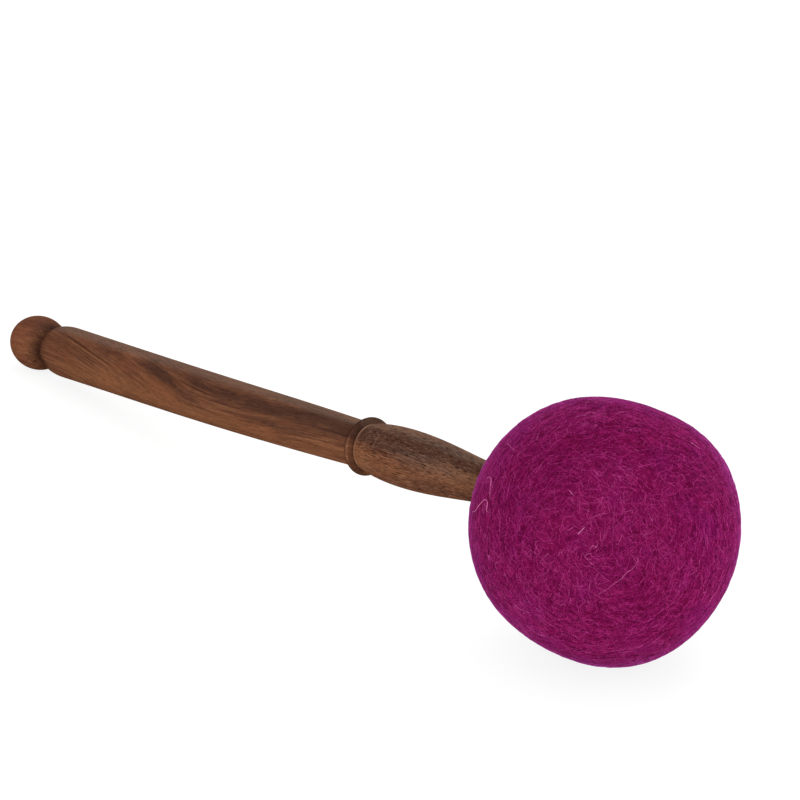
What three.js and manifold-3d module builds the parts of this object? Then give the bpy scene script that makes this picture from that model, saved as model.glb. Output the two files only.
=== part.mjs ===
// A felt-headed mallet for a singing bowl, lying as on a table.
// One turned hardwood stick ends in a tenon. A bored wooden ball sits on the tenon,
// undyed wool is wound round the ball, and a thick cover of dyed felt closes the head.
// Lengths are millimetres. +X runs from the pommel to the head and +Z points up.
// The stick's stations are measured along its axis from the far end of the pommel.

import * as THREE from 'three';
import { mergeVertices } from 'three/addons/utils/BufferGeometryUtils.js';
import Module from 'manifold-3d';

const wasm = await Module();
wasm.setup();

// Pommel, neck and shoulder
const pommelRadius = 8.6;
const pommelLength = 21.4;
const neckRadius = 5.9;
const neckDip = 0.4;
const neckLength = 2.6;
const shoulderLength = 8;

// Grip, as the radii that pull its long curve
const gripLength = 153.4;
const gripRearRadius = 8.1;
const gripRearPull = 7.76;
const gripFrontPull = 7.9;
const gripFrontRadius = 6.63;

// Collar bead and the two cut lines beside it
const collarRadius = 8.54;
const collarWidth = 2.1;
const quirkWidth = 0.5;
const quirkDepth = 0.3;

// Swell in front of the collar and the taper into the head
const swellLength = 16.4;
const swellRadius = 8.4;
const swellFootRadius = 6.85;
const swellFootPull = 8.2;
const taperLength = 49.7;
const tenonRadius = 5.2;
const tenonReach = 8;
const tenonChamfer = 0.8;
const swellRisePullShare = 0.33;
const swellCrestPullShare = 0.2;
const taperRearPullShare = 0.37;
const taperFrontPullShare = 0.38;

// Head: where the core sits, how low the felt hangs on it, and its layers
const headSetback = 35.9;
const headDrop = 2.7;
const headRadius = 36;
const paddingShare = 7 / 9;
const coreShare = 17 / 36;
const paddingRadius = headRadius * paddingShare;
const coreRadius = headRadius * coreShare;
const restDepth = 0.5;
const seatGap = 0.3;
const cutOverrun = 1;
const samePlace = 0.001;

// Hand-felted unevenness: compass angle, rise and spread of each lump in degrees
const lumpHeight = 1.1;
const lumpShares = [
  { turn: 221, rise: 15, spread: 20, heightShare: 0.3 },
  { turn: 205, rise: 50, spread: 17, heightShare: 0.6 },
  { turn: 100, rise: 62, spread: 20, heightShare: -1 },
  { turn: 66, rise: 33, spread: 17, heightShare: 0.75 },
  { turn: 43, rise: -22, spread: 20, heightShare: -0.25 },
  { turn: -1, rise: -64, spread: 18, heightShare: 0.8 },
  { turn: 264, rise: -54, spread: 20, heightShare: -0.85 },
  { turn: 232, rise: -20, spread: 20, heightShare: 0.25 },
  { turn: 140, rise: -20, spread: 18, heightShare: 0.5 },
  { turn: 150, rise: 25, spread: 18, heightShare: -0.4 },
  { turn: 300, rise: 8, spread: 18, heightShare: -0.3 },
];

// Facet counts
const stickSides = 40;
const boreSides = 24;
const coverDetail = 10;
const layerDetail = 7;
const coreDetail = 5;

// Stations along the stick
const pommelStation = pommelLength / 2;
const neckSlant = Math.acos(neckRadius / pommelRadius);
const neckStation = pommelStation + pommelStation * Math.sin(neckSlant);
const shoulderStation = neckStation + neckLength;
const gripStation = shoulderStation + shoulderLength;
const quirkStation = gripStation + gripLength;
const collarStation = quirkStation + quirkWidth + collarWidth / 2;
const swellFootStation = collarStation + collarWidth / 2 + quirkWidth;
const swellStation = swellFootStation + swellLength;
const tenonStation = swellStation + taperLength;
const headStation = tenonStation + headSetback;
const tipStation = headStation + tenonReach;

// The tilt at which the pommel and the head both touch the floor
const headHeight = headRadius - restDepth;
const stickSpan = headStation - pommelStation;
const { tilt, pommelHeight } = restingTilt();
const headReach = stickSpan * Math.cos(tilt);
const lengthMiddle = (headReach + headRadius - pommelStation) / 2;

function restingTilt() {
  let angle = 0;
  let height = pommelRadius;
  for (let pass = 0; pass < 20; pass += 1) {
    height = Math.hypot(pommelStation * Math.sin(angle), pommelRadius * Math.cos(angle));
    angle = Math.asin((headHeight + headDrop - height) / stickSpan);
  }
  return { tilt: angle, pommelHeight: height };
}

// Closed meshes and solids

function closedMesh(geometry) {
  const bare = geometry.clone();
  bare.deleteAttribute('normal');
  bare.deleteAttribute('uv');
  const merged = mergeVertices(bare);
  const corners = merged.index.array;
  const kept = [];
  for (let i = 0; i < corners.length; i += 3) {
    const [a, b, c] = corners.slice(i, i + 3);
    if (a !== b && b !== c && c !== a) kept.push(a, b, c);
  }
  merged.setIndex(kept);
  return merged;
}

function toSolid(geometry) {
  const closed = closedMesh(geometry);
  return new wasm.Manifold(new wasm.Mesh({
    numProp: 3,
    vertProperties: new Float32Array(closed.attributes.position.array),
    triVerts: new Uint32Array(closed.index.array),
  }));
}

function toGeometry(solid) {
  const mesh = solid.getMesh();
  const geometry = new THREE.BufferGeometry();
  geometry.setAttribute('position', new THREE.BufferAttribute(new Float32Array(mesh.vertProperties), 3));
  geometry.setIndex(new THREE.BufferAttribute(new Uint32Array(mesh.triVerts), 1));
  geometry.computeVertexNormals();
  return geometry;
}

// Turned profiles: x is the radius and y is the station

function pommelOutline() {
  return new THREE.EllipseCurve(0, pommelStation, pommelRadius, pommelStation, -Math.PI / 2, neckSlant);
}

function neckOutline() {
  const middle = neckStation + neckLength / 2;
  return new THREE.EllipseCurve(neckRadius, middle, neckDip, neckLength / 2, -Math.PI / 2, Math.PI / 2, true);
}

function shoulderOutline() {
  const rise = gripRearRadius - neckRadius;
  return new THREE.EllipseCurve(neckRadius, gripStation, rise, shoulderLength, -Math.PI / 2, 0);
}

function gripOutline() {
  return new THREE.CubicBezierCurve(
    new THREE.Vector2(gripRearRadius, gripStation),
    new THREE.Vector2(gripRearPull, gripStation + gripLength / 3),
    new THREE.Vector2(gripFrontPull, quirkStation - gripLength / 3),
    new THREE.Vector2(gripFrontRadius, quirkStation),
  );
}

function quirkBottom(station) {
  return new THREE.Vector2(gripFrontRadius - quirkDepth, station + quirkWidth / 2);
}

function collarOutline() {
  const foot = gripFrontRadius;
  return new THREE.EllipseCurve(foot, collarStation, collarRadius - foot, collarWidth / 2, -Math.PI / 2, Math.PI / 2);
}

function swellOutline() {
  return new THREE.CubicBezierCurve(
    new THREE.Vector2(swellFootRadius, swellFootStation),
    new THREE.Vector2(swellFootPull, swellFootStation + swellLength * swellRisePullShare),
    new THREE.Vector2(swellRadius, swellStation - swellLength * swellCrestPullShare),
    new THREE.Vector2(swellRadius, swellStation),
  );
}

function taperOutline() {
  return new THREE.CubicBezierCurve(
    new THREE.Vector2(swellRadius, swellStation),
    new THREE.Vector2(swellRadius, swellStation + taperLength * taperRearPullShare),
    new THREE.Vector2(tenonRadius, tenonStation - taperLength * taperFrontPullShare),
    new THREE.Vector2(tenonRadius, tenonStation),
  );
}

function tenonOutline() {
  return [
    new THREE.Vector2(tenonRadius, tipStation - tenonChamfer),
    new THREE.Vector2(tenonRadius - tenonChamfer, tipStation),
    new THREE.Vector2(0, tipStation),
  ];
}

// Stretches meet end to end, so a point that repeats the one before it is left out
function joinOutline(...stretches) {
  const points = [];
  for (const point of stretches.flat()) {
    const last = points.at(-1);
    if (!last || last.distanceTo(point) > samePlace) points.push(point);
  }
  points[0].x = 0;
  return points;
}

function turnedStick() {
  const outline = joinOutline(
    pommelOutline().getPoints(12),
    neckOutline().getPoints(4),
    shoulderOutline().getPoints(6),
    gripOutline().getPoints(10),
    quirkBottom(quirkStation),
    collarOutline().getPoints(8),
    quirkBottom(swellFootStation - quirkWidth),
    swellOutline().getPoints(8),
    taperOutline().getPoints(10),
    tenonOutline(),
  );
  return closedMesh(new THREE.LatheGeometry(outline, stickSides));
}

// The way that the stick leaves through the padding and the cover
function stickPassage() {
  const walls = taperOutline().getPoints(10).map((point) => new THREE.Vector2(point.x + seatGap, point.y));
  const outline = joinOutline(
    [new THREE.Vector2(0, walls[0].y)],
    walls,
    [new THREE.Vector2(tenonRadius + seatGap, headStation), new THREE.Vector2(0, headStation)],
  );
  return new THREE.LatheGeometry(outline, stickSides);
}

// Head

const stickFrame = new THREE.Matrix4().compose(
  new THREE.Vector3(-lengthMiddle, 0, pommelHeight),
  new THREE.Quaternion().setFromAxisAngle(new THREE.Vector3(0, 1, 0), -tilt),
  new THREE.Vector3(1, 1, 1),
);
const latheFrame = new THREE.Matrix4()
  .makeTranslation(-pommelStation, 0, 0)
  .multiply(new THREE.Matrix4().makeRotationZ(-Math.PI / 2));
const coreCentre = new THREE.Vector3(stickSpan, 0, 0).applyMatrix4(stickFrame);
const feltCentre = new THREE.Vector3(coreCentre.x, 0, headHeight);

function boredCore() {
  const reach = tenonReach + seatGap;
  const depth = reach + coreRadius + cutOverrun;
  const bore = new THREE.CylinderGeometry(tenonRadius + seatGap, tenonRadius + seatGap, depth, boreSides);
  bore.translate(0, reach - depth / 2, 0);
  const ball = new THREE.IcosahedronGeometry(coreRadius, coreDetail);
  return toGeometry(toSolid(ball).subtract(toSolid(bore)));
}

function passageFromFeltCentre() {
  const frame = new THREE.Matrix4()
    .makeTranslation(-feltCentre.x, -feltCentre.y, -feltCentre.z)
    .multiply(stickFrame)
    .multiply(latheFrame);
  return toSolid(stickPassage().applyMatrix4(frame));
}

function woolPadding() {
  const outside = toSolid(new THREE.IcosahedronGeometry(paddingRadius, layerDetail));
  const hollow = new THREE.IcosahedronGeometry(coreRadius + seatGap, coreDetail);
  hollow.translate(0, 0, coreCentre.z - feltCentre.z);
  return toGeometry(outside.subtract(toSolid(hollow)).subtract(passageFromFeltCentre()));
}

function compassDirection({ turn, rise }) {
  const level = THREE.MathUtils.degToRad(turn);
  const lift = THREE.MathUtils.degToRad(rise);
  const reach = Math.cos(lift);
  return new THREE.Vector3(Math.cos(level) * reach, Math.sin(level) * reach, Math.sin(lift));
}

function lumpRise(direction) {
  let height = 0;
  for (const lump of lumpShares) {
    const angle = THREE.MathUtils.radToDeg(direction.angleTo(compassDirection(lump)));
    height += lumpHeight * lump.heightShare * Math.exp(-((angle / lump.spread) ** 2) / 2);
  }
  return height;
}

function lumpyBall() {
  const ball = closedMesh(new THREE.IcosahedronGeometry(headRadius, coverDetail));
  const place = ball.attributes.position;
  const point = new THREE.Vector3();
  for (let i = 0; i < place.count; i += 1) {
    point.fromBufferAttribute(place, i).normalize();
    point.multiplyScalar(headRadius + lumpRise(point));
    place.setXYZ(i, point.x, point.y, point.z);
  }
  return ball;
}

function feltCover() {
  const side = headRadius * 2;
  const below = new THREE.BoxGeometry(side, side, side);
  below.translate(0, 0, -headHeight - side / 2);
  const hollow = toSolid(new THREE.IcosahedronGeometry(paddingRadius + seatGap, layerDetail));
  const shell = toSolid(lumpyBall()).subtract(hollow);
  return toGeometry(shell.subtract(passageFromFeltCentre()).subtract(toSolid(below)));
}

// Assembly

function piece(name, geometry, color, roughness) {
  const material = new THREE.MeshStandardMaterial({ color, roughness, metalness: 0 });
  const mesh = new THREE.Mesh(geometry, material);
  mesh.name = name;
  return mesh;
}

const handle = piece('turned_handle', turnedStick(), 0x6f3c24, 0.45);
const core = piece('head_core', boredCore(), 0xc79f6d, 0.6);
const padding = piece('wool_padding', woolPadding(), 0xddd2bd, 0.95);
const cover = piece('felt_cover', feltCover(), 0x8a1460, 0.95);

const stick = new THREE.Group();
stick.applyMatrix4(stickFrame);
handle.applyMatrix4(latheFrame);
core.position.set(stickSpan, 0, 0);
core.rotation.z = -Math.PI / 2;
stick.add(handle, core);

const head = new THREE.Group();
head.position.copy(feltCentre);
head.add(padding, cover);

const mallet = new THREE.Group();
mallet.add(stick, head);

export default mallet;
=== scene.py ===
import math

import bpy
import numpy as np
from mathutils import Matrix, Vector, noise


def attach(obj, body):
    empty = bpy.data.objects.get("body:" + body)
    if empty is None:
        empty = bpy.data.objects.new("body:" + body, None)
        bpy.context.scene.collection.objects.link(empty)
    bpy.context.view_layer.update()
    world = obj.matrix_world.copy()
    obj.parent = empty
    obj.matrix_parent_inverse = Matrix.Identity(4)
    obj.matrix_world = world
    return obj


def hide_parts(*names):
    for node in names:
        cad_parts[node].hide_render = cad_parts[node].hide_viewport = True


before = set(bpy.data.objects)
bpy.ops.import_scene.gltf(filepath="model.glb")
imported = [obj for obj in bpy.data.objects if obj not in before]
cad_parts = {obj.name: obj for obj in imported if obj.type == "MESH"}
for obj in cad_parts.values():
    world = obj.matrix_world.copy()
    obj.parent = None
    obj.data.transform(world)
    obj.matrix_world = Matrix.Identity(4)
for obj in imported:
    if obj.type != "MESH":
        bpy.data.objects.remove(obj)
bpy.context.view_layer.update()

# A felt-headed mallet for a singing bowl, lying on a pale floor.
# Sizes are millimetres until a mesh is made, and the stick's stations are measured
# along its axis from the far end of the pommel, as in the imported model.

MM = 0.001

# The turned stick
POMMEL_RADIUS, POMMEL_LENGTH = 8.6, 21.4
NECK_RADIUS, NECK_DIP, NECK_LENGTH = 5.9, 0.4, 2.6
SHOULDER_LENGTH = 8
GRIP_LENGTH = 153.4
GRIP_RADII, GRIP_PULLS = (8.1, 7.76, 7.9, 6.63), (1 / 3, 1 / 3)
COLLAR_RADIUS, COLLAR_WIDTH = 8.54, 2.1
QUIRK_WIDTH, QUIRK_DEPTH = 0.5, 0.3
QUIRK_CUT = ((0.12, 0.7), (0.35, 1), (0.65, 1), (0.88, 0.7))  # shares of its width and depth
SWELL_LENGTH = 16.4
SWELL_RADII, SWELL_PULLS = (6.85, 8.2, 8.4, 8.4), (0.33, 0.2)
TAPER_LENGTH, TENON_RADIUS = 49.7, 5.2
TAPER_RADII, TAPER_PULLS = (8.4, 8.4, TENON_RADIUS, TENON_RADIUS), (0.37, 0.38)
TENON_REACH, TENON_CHAMFER = 8, 0.8
STICK_BOW, BOW_LENGTH = 0.52, 190  # the grip's sag, and its length from the pommel's middle
STICK_SIDES = 112

# The head
HEAD_SETBACK, HEAD_DROP = 35.9, 2.7
HEAD_RADIUS, REST_DEPTH = 36, 0.5
PADDING_RADIUS, CORE_RADIUS = 28, 17
SEAT_GAP, PASSAGE_GAP = 0.3, 0.15
BORE_CHAMFER = 0.6
MOUTH_WIDTH, MOUTH_DEPTH, MOUTH_RIM = 0.45, 0.5, 0.15  # of the core's eased mouth
INNER_SIDES, INNER_CELLS = 72, 44
PADDING_CELLS, FELT_CELLS = 64, 120
PASSAGE_BAND, HOLLOW_BAND, OUTSIDE_BAND = 0.02, (0.03, 0.13), (0.14, 1)  # of the baked map
DIMPLE_DEPTH, DIMPLE_REACH = 1.5, 2.4
WOOL_BUMPS = 0.35  # half the height of the padding's windings
FELT_BUMPS = ((0.07, 4.5, 3.7), (0.05, 1.7, 9.1))  # height, pitch and seed of its unevenness
FELT_SINK = 0.24  # how far the felt's ground lies below the surface that its strands make
LUMP_HEIGHT = 1.1
LUMPS = (  # compass angle, rise and spread in degrees, and share of the lump height
    (221, 15, 20, 0.3),
    (205, 50, 17, 0.25),
    (98, 60, 20, -1.2),
    (66, 33, 17, 0.75),
    (43, -22, 20, -0.25),
    (-1, -64, 18, 0.8),
    (264, -54, 20, -0.85),
    (235, -17, 20, -0.05),
    (140, -20, 18, 0.5),
    (150, 25, 18, -0.4),
    (300, 8, 18, -0.3),
)

# Where the stick and the head lie
POMMEL_STATION = POMMEL_LENGTH / 2
NECK_SLANT = math.acos(NECK_RADIUS / POMMEL_RADIUS)
NECK_STATION = POMMEL_STATION * (1 + math.sin(NECK_SLANT))
GRIP_STATION = NECK_STATION + NECK_LENGTH + SHOULDER_LENGTH
QUIRK_STATION = GRIP_STATION + GRIP_LENGTH
COLLAR_STATION = QUIRK_STATION + QUIRK_WIDTH + COLLAR_WIDTH / 2
SWELL_FOOT = COLLAR_STATION + COLLAR_WIDTH / 2 + QUIRK_WIDTH
SWELL_STATION = SWELL_FOOT + SWELL_LENGTH
TENON_STATION = SWELL_STATION + TAPER_LENGTH
HEAD_STATION = TENON_STATION + HEAD_SETBACK
TIP_STATION = HEAD_STATION + TENON_REACH
STICK_SPAN = HEAD_STATION - POMMEL_STATION
HEAD_HEIGHT = HEAD_RADIUS - REST_DEPTH


def resting_tilt():
    """The stick's tilt and the height of the pommel's middle when both ends touch the floor."""
    tilt, height = 0, POMMEL_RADIUS
    for _ in range(20):
        height = math.hypot(POMMEL_STATION * math.sin(tilt), POMMEL_RADIUS * math.cos(tilt))
        tilt = math.asin((HEAD_HEIGHT + HEAD_DROP - height) / STICK_SPAN)
    return tilt, height


TILT, POMMEL_HEIGHT = resting_tilt()
LENGTH_MIDDLE = (STICK_SPAN * math.cos(TILT) + HEAD_RADIUS - POMMEL_STATION) / 2
POMMEL_PLACE = Matrix.Translation((-LENGTH_MIDDLE * MM, 0, POMMEL_HEIGHT * MM))
STICK_PLACE = POMMEL_PLACE @ Matrix.Rotation(-TILT, 4, "Y")
CORE_PLACE = STICK_PLACE @ Matrix.Translation((STICK_SPAN * MM, 0, 0))
CORE_CENTRE = CORE_PLACE.to_translation()
FELT_CENTRE = Vector((CORE_CENTRE.x, 0, HEAD_HEIGHT * MM))
HEAD_PLACE = Matrix.Translation(FELT_CENTRE)
STICK_AXIS = np.array(STICK_PLACE.to_3x3() @ Vector((1, 0, 0)))
CORE_OFFSET = np.array(CORE_CENTRE - FELT_CENTRE) / MM


# Shared sums

def unit(vectors):
    return vectors / np.linalg.norm(vectors, axis=-1, keepdims=True)


def bell(value):
    """1 at zero, falling off smoothly to both sides."""
    return np.exp(-(value ** 2) / 2)


def smooth_step(value):
    share = np.clip(value, 0, 1)
    return share * share * (3 - 2 * share)


def wave(points, pitch, seed):
    """A soft noise from -1 to 1 at each point."""
    spots = np.asarray(points) / pitch + seed
    return np.array([noise.noise(spot) for spot in spots.tolist()])


def compass(turn, rise):
    """The direction at a compass angle and a rise in degrees."""
    turn, rise = math.radians(turn), math.radians(rise)
    level = math.cos(rise)
    return np.array([math.cos(turn) * level, math.sin(turn) * level, math.sin(rise)])


def degrees_off(directions, pole):
    return np.degrees(np.arccos(np.clip(directions @ pole, -1, 1)))


def nearness(directions, turn, rise, spread):
    """1 at a compass place, and less with the degrees from it."""
    return bell(degrees_off(directions, compass(turn, rise)) / spread)


def turned_off(angle, other):
    """How far round one angle is from another, -180 to 180."""
    return (angle - other + 180) % 360 - 180


# Meshes

MAP_COLUMNS, MAP_ROWS, CELL_MARGIN = 3, 2, 0.02  # the baked map's cells and their share of margin
MAP_CELLS = MAP_COLUMNS * MAP_ROWS
WELD = 1e5  # the charts' edge points that agree to this fineness are joined


def add_piece(name, points, faces, place, material, corners):
    """A smooth mesh in millimetres about its place, with its corners' places on the baked map."""
    mesh = bpy.data.meshes.new(name)
    mesh.from_pydata((np.asarray(points) * MM).tolist(), [], faces)
    mesh.polygons.foreach_set("use_smooth", [True] * len(mesh.polygons))
    layer = mesh.uv_layers.new(name="OFBake")
    layer.data.foreach_set("uv", np.ascontiguousarray(corners, dtype=np.float32).ravel())
    mesh.materials.append(material)
    piece = bpy.data.objects.new(name, mesh)
    piece.matrix_world = place
    bpy.context.scene.collection.objects.link(piece)
    return piece


def cell_of(number, u, v):
    """Places within one cell of the baked map."""
    row, column = divmod(number, MAP_COLUMNS)
    room = 1 - 2 * CELL_MARGIN
    return (
        (column + CELL_MARGIN + u * room) / MAP_COLUMNS,
        (row + CELL_MARGIN + v * room) / MAP_ROWS,
    )


def turned(profile, sides):
    """A closed turned mesh from stations and radii that begin and end on the axis."""
    profile = np.asarray(profile, dtype=float)
    station, radius = profile[1:-1].T
    start, finish = profile[0, 0], profile[-1, 0]
    turn = np.arange(sides) * (2 * math.pi / sides)
    rings = np.stack([
        np.broadcast_to(station[:, None], (len(station), sides)),
        radius[:, None] * np.cos(turn),
        radius[:, None] * np.sin(turn),
    ], axis=-1).reshape(-1, 3)
    first, last = len(rings), len(rings) + 1
    points = np.vstack([rings, [[start, 0, 0], [finish, 0, 0]]])
    span = (finish - start) / MAP_CELLS
    faces, corners = [], []

    def add_face(cell, *spots):
        """Adds a face from points, each with its step round the stick and its station."""
        faces.append(tuple(point for point, _, _ in spots))
        for _, step, along in spots:
            corners.append(cell_of(cell, step / sides, (along - start) / span - cell))

    for ring, (near, far) in enumerate(zip(station[:-1], station[1:])):
        low, high = ring * sides, (ring + 1) * sides
        cell = min(MAP_CELLS - 1, int((near - start) / span))
        for a in range(sides):
            b = (a + 1) % sides
            rear = (low + b, a + 1, near), (low + a, a, near)
            add_face(cell, *rear, (high + a, a, far), (high + b, a + 1, far))
    end, near, far = (len(station) - 1) * sides, station[0], station[-1]
    for a in range(sides):
        b = (a + 1) % sides
        add_face(0, (first, a + 0.5, start), (a, a, near), (b, a + 1, near))
        tip = (last, a + 0.5, finish)
        add_face(MAP_CELLS - 1, tip, (end + b, a + 1, far), (end + a, a, far))
    return points, faces, corners


def quad_corners(grid):
    """The four corners of every cell of a grid, in order round the cell."""
    return np.stack([
        grid[..., :-1, :-1], grid[..., 1:, :-1], grid[..., 1:, 1:], grid[..., :-1, 1:],
    ], axis=-1)


def ball_of_quads(cells):
    """Unit directions, quads and each corner's chart and place, for a ball in six charts."""
    steps = np.tan(np.linspace(-1, 1, cells + 1) * math.pi / 4)
    a, b = np.meshgrid(steps, steps, indexing="ij")
    one = np.ones_like(a)
    sides = ((one, a, b), (-one, -a, b), (-a, one, b), (a, -one, b), (-b, a, one), (b, a, -one))
    grid = unit(np.stack([np.stack(side, axis=-1) for side in sides]))
    flat = grid.reshape(-1, 3)
    rounded = np.round(flat * WELD)
    _, first, inverse = np.unique(rounded, axis=0, return_index=True, return_inverse=True)
    quads = quad_corners(inverse.reshape(grid.shape[:3])).reshape(-1, 4)
    shares = np.arange(cells + 1) / cells
    chart = np.repeat(np.arange(len(sides)), cells * cells * 4)
    places = [
        np.tile(quad_corners(part).ravel(), len(sides))
        for part in np.meshgrid(shares, shares, indexing="ij")
    ]
    return flat[first], quads, chart, *places


def ball_map(chart, u, v, low, high):
    """A ball's six charts in a band of the baked map from low to high."""
    across, up = cell_of(chart, u, v)
    return np.stack([across, low + up * (high - low)], axis=1)


def cut_away(piece, *cutters):
    """Cuts closed meshes out of a piece and keeps the result as its mesh."""
    for cutter in cutters:
        cut = piece.modifiers.new("cut", "BOOLEAN")
        cut.operation = "DIFFERENCE"
        cut.solver = "MANIFOLD"
        cut.object = cutter
    bpy.context.view_layer.update()
    seen = piece.evaluated_get(bpy.context.evaluated_depsgraph_get())
    whole = bpy.data.meshes.new_from_object(seen)
    piece.modifiers.clear()
    piece.data = whole
    for cutter in cutters:
        bpy.data.objects.remove(cutter)


def give_values(piece, **attributes):
    """Stores numbers or vectors on a piece's points."""
    for name, values in attributes.items():
        kind, field = ("FLOAT_VECTOR", "vector") if values.ndim > 1 else ("FLOAT", "value")
        flat = np.ascontiguousarray(values, dtype=np.float32).ravel()
        piece.data.attributes.new(name, kind, "POINT").data.foreach_set(field, flat)


# Materials

def tint(red, green, blue):
    """A colour as it looks on a screen, 0 to 255, as the linear colour that a shader takes."""
    shares = [part / 255 for part in (red, green, blue)]
    linear = [
        share / 12.92 if share <= 0.04045 else ((share + 0.055) / 1.055) ** 2.4
        for share in shares
    ]
    return (*linear, 1)


WHITE = (1, 1, 1, 1)


class Nodes:
    """Adds and links the nodes of one tree."""

    def __init__(self, tree):
        self.tree = tree

    def feed(self, socket, value):
        if isinstance(value, bpy.types.NodeSocket):
            self.tree.links.new(value, socket)
        else:
            socket.default_value = value

    def add(self, kind, sockets, output=0, **settings):
        """A new shader node, fed and set, as its output."""
        node = self.tree.nodes.new("ShaderNode" + kind)
        for name, value in settings.items():
            setattr(node, name, value)
        for socket, value in sockets.items():
            self.feed(node.inputs[socket], value)
        return node.outputs[output]

    def math(self, operation, *values, clamp=False):
        return self.add("Math", dict(enumerate(values)), operation=operation, use_clamp=clamp)

    def times(self, product, *factors, clamp=False):
        """The product of the values, kept between 0 and 1 at each step if clamp is set."""
        for factor in factors:
            product = self.math("MULTIPLY", product, factor, clamp=clamp)
        return product

    def weigh(self, *parts):
        """The sum of some values, each times its weight."""
        total, *others = (self.times(value, weight) for value, weight in parts)
        for other in others:
            total = self.math("ADD", total, other)
        return total

    def stretch(self, vector, scale):
        return self.add("VectorMath", {0: vector, 1: scale}, operation="MULTIPLY")

    def shift(self, vector, offset):
        return self.add("VectorMath", {0: vector, 1: offset}, operation="ADD")

    def noise(self, vector, scale=1, detail=2, roughness=0.5, distortion=0):
        return self.add("TexNoise", {
            "Vector": vector, "Scale": scale, "Detail": detail,
            "Roughness": roughness, "Distortion": distortion,
        })

    def drawn_out(self, vector, scale, offset=(0, 0, 0), **settings):
        """A noise with its own scale along each axis."""
        return self.noise(self.stretch(self.shift(vector, offset), scale), **settings)

    def between(self, value, low, high, start=0, end=1):
        """A smooth change from start to end while the value goes from low to high."""
        sockets = {0: value, 1: low, 2: high, 3: start, 4: end}
        return self.add("MapRange", sockets, interpolation_type="SMOOTHSTEP")

    def mix(self, share, one, other):
        sockets = {0: share, 6: one, 7: other}  # the node's colours, and its colour out, 2
        return self.add("Mix", sockets, 2, data_type="RGBA")

    def ramp(self, value, stops):
        node = self.tree.nodes.new("ShaderNodeValToRGB")
        elements = node.color_ramp.elements
        while len(elements) < len(stops):
            elements.new(1)
        for element, (place, color) in zip(elements, stops):
            element.position = place
            element.color = tint(*color)
        self.feed(node.inputs[0], value)
        return node.outputs[0]

    def attribute(self, name, output="Fac"):
        return self.add("Attribute", {}, output, attribute_name=name)

    def seen_directly(self):
        """1 for the rays that show a thing itself: from the camera, a mirror or glass."""
        path = self.tree.nodes.new("ShaderNodeLightPath")
        seen = path.outputs["Is Camera Ray"]
        for ray in ("Is Glossy Ray", "Is Transmission Ray"):
            seen = self.math("MAXIMUM", seen, path.outputs[ray])
        return seen


class Surface(Nodes):
    """Builds one material, with its colour laid on in layers."""

    def __init__(self, name):
        self.material = bpy.data.materials.new(name)
        self.material.use_nodes = True
        super().__init__(self.material.node_tree)
        self.shader = self.tree.nodes["Principled BSDF"]
        self.color = None

    def place(self):
        """Where a point lies on its piece, in millimetres."""
        return self.stretch(self.add("TexCoord", {}, "Object"), (1 / MM,) * 3)

    def tinge(self, shade, *shares):
        """Lays a shade over the colour so far, by the product of its shares."""
        self.color = self.mix(self.times(*shares), self.color, tint(*shade))

    def relief(self, height, distance, strength):
        sockets = {"Strength": strength, "Distance": distance * MM, "Height": height}
        self.feed(self.shader.inputs["Normal"], self.add("Bump", sockets))

    def finish(self, rough, **constants):
        self.feed(self.shader.inputs["Base Color"], self.color)
        self.feed(self.shader.inputs["Roughness"], rough)
        for name, value in constants.items():
            self.shader.inputs[name.replace("_", " ")].default_value = value
        return self.material


# Oiled wood. Distances along the stick are from the pommel's middle, as in the grain attribute.

WOOD_TONES = (
    (0.34, (75, 46, 36)),
    (0.44, (95, 59, 43)),
    (0.50, (106, 67, 48)),
    (0.56, (118, 76, 53)),
    (0.68, (138, 93, 66)),
)
VEINS = (  # layer, where along the stick it starts and ends, half width, strength, colour
    (5.4, 20, 57, 0.42, 0.55, (62, 34, 20)),
    (4.75, 22, 54, 0.36, 0.5, (140, 94, 62)),
    (13.6, 84, 104, 0.4, 0.5, (50, 29, 22)),
    (12.7, 88, 112, 0.4, 0.35, (136, 90, 60)),
)
VEIN_CORE, VEIN_FADE = 0.08, 8  # half width at full strength, and the length of each end's fade
POMMEL_END, POMMEL_FRONT = (-9.5, -5), (1, 8)  # where the end grain and the pommel's red fade out
SWELL_CHANGE = (170, 182)  # where the grip's fine grain changes to the swell's coarse one
MARKS_START, MARKS_END = (175, 178), (184, 192)  # where the turning marks fade in and out
DARK_WOOD = (0.2, 1)  # heart values from which wood counts as dark, and as fully dark


def wood_ground(wood, grain, streaks):
    """The wood's own colour: broad layers, fine lines, streaks and bands, and redder clouds."""
    broad = wood.drawn_out(grain, (0.022, 0.34, 0.2), detail=3, roughness=0.55)
    lines = wood.drawn_out(grain, (0.02, 1.7, 0.5), detail=5, roughness=0.7, distortion=0.12)
    bands = wood.drawn_out(grain, (0.035, 0.8, 0.7), (20, 60, 90), detail=3, roughness=0.6)
    cloud = wood.drawn_out(grain, (0.05, 0.12, 0.12), (0, 70, 0), detail=2)
    tone = wood.weigh((broad, 0.34), (lines, 0.5), (streaks, 0.44), (bands, 0.44))
    wood.color = wood.ramp(wood.math("SUBTRACT", tone, 0.36), WOOD_TONES)
    wood.tinge((119, 71, 46), wood.between(cloud, 0.45, 0.7, 0, 0.5))


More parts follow.
